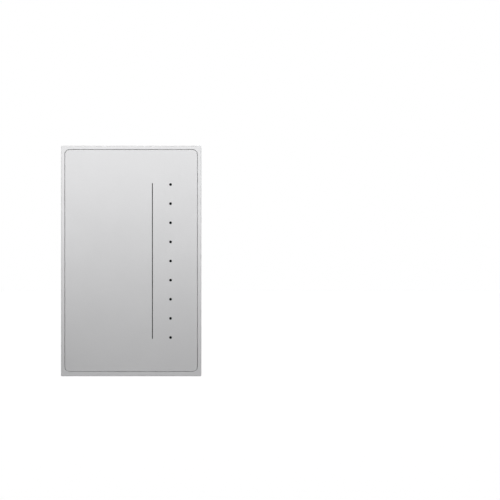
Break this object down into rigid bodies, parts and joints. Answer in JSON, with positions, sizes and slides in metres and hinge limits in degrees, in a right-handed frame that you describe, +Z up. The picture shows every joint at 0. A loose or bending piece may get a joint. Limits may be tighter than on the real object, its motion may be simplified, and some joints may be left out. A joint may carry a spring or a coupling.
{
  "type": "smart dimmer switch",
  "caption": "Wall dimmer switch with a flat push plate, a thin touch line and a column of small indicator dots, on a steel strap with a rear housing.",
  "frame": {"origin": "centre of the two box-screw slots, on the wall's surface", "axes": "+X across the plate to the right as seen from the room, +Y into the wall, +Z up the plate"},
  "size_m": [0.073, 0.037, 0.12],
  "materials": {
    "frame_finish": "satin silver paint",
    "panel_finish": "satin silver paint",
    "smoked_lens": "smoked translucent",
    "sensor_film": "amber film",
    "black_plastic": "fine texture",
    "white_plastic": "fine texture",
    "led_package": "clear top",
    "control_board": "solder resist",
    "power_board": "solder resist",
    "chip_epoxy": "moulded",
    "tinned_can": "tinned",
    "gold_copper": "plated",
    "spring_steel": "bright",
    "zinc_steel": "zinc plated",
    "ground_green": "green passivated",
    "housing_plastic": "spark-eroded texture",
    "base_plastic": "spark-eroded texture",
    "terminal_plastic": "smooth",
    "heat_sink_metal": "mill finish",
    "ferrite": "sintered",
    "coil_tape": "yellow tape",
    "enamelled_wire": "enamelled",
    "film_capacitor_case": "smooth",
    "capacitor_sleeve": "sleeve",
    "varistor_lacquer": "dipped",
    "fuse_body": "smooth",
    "clamp_metal": "plated"
  },
  "bodies": {
    "switch": {"cover_frame": "frame_finish", "sensor_flex_tail": "sensor_film", "flex_connector": "white_plastic", "light_baffle": "black_plastic", "indicator_leds": "led_package", "line_leds": "led_package", "control_board": "control_board", "switch_bodies": "black_plastic", "return_springs": "spring_steel", "wireless_module": "control_board", "module_shield": "tinned_can", "antenna_trace": "gold_copper", "microcontroller": "chip_epoxy", "touch_controller": "chip_epoxy", "link_socket": "black_plastic", "link_header": "black_plastic", "link_header_pins": "gold_copper", "base_plate": "base_plastic", "mounting_strap": "zinc_steel", "ground_screw": "ground_green", "rear_housing": "housing_plastic", "housing_screws": "zinc_steel", "power_board": "power_board", "heat_sink": "heat_sink_metal", "power_transistors": "chip_epoxy", "transistor_clip": "spring_steel", "transformer_core": "ferrite", "transformer_winding": "coil_tape", "choke_core": "ferrite", "choke_winding": "enamelled_wire", "film_capacitor": "film_capacitor_case", "bulk_capacitor": "capacitor_sleeve", "varistor": "varistor_lacquer", "fuse": "fuse_body", "bridge_rectifier": "chip_epoxy", "terminal_block": "terminal_plastic", "terminal_clamps": "clamp_metal", "terminal_screws": "zinc_steel"},
    "panel": {"touch_panel": "panel_finish", "line_light_guide": "smoked_lens", "dot_light_guide": "smoked_lens", "slide_sensor_film": "sensor_film"},
    "plungers": {"switch_plungers": "white_plastic"}
  },
  "joints": [
    {"name": "panel_press", "type": "slide", "parent": "switch", "child": "panel", "axis": [0, 1, 0], "range_m": [0, 0.0005], "stiffness_N_per_m": 4000, "springref_m": -0.0002, "deforming": ["return_springs", "sensor_flex_tail"]},
    {"name": "plunger_press", "type": "slide", "parent": "switch", "child": "plungers", "axis": [0, 1, 0], "range_m": [0, 0.0005]}
  ],
  "couplings": [
    {"joint": "plunger_press", "follows": "panel_press", "ratio": 1}
  ]
}
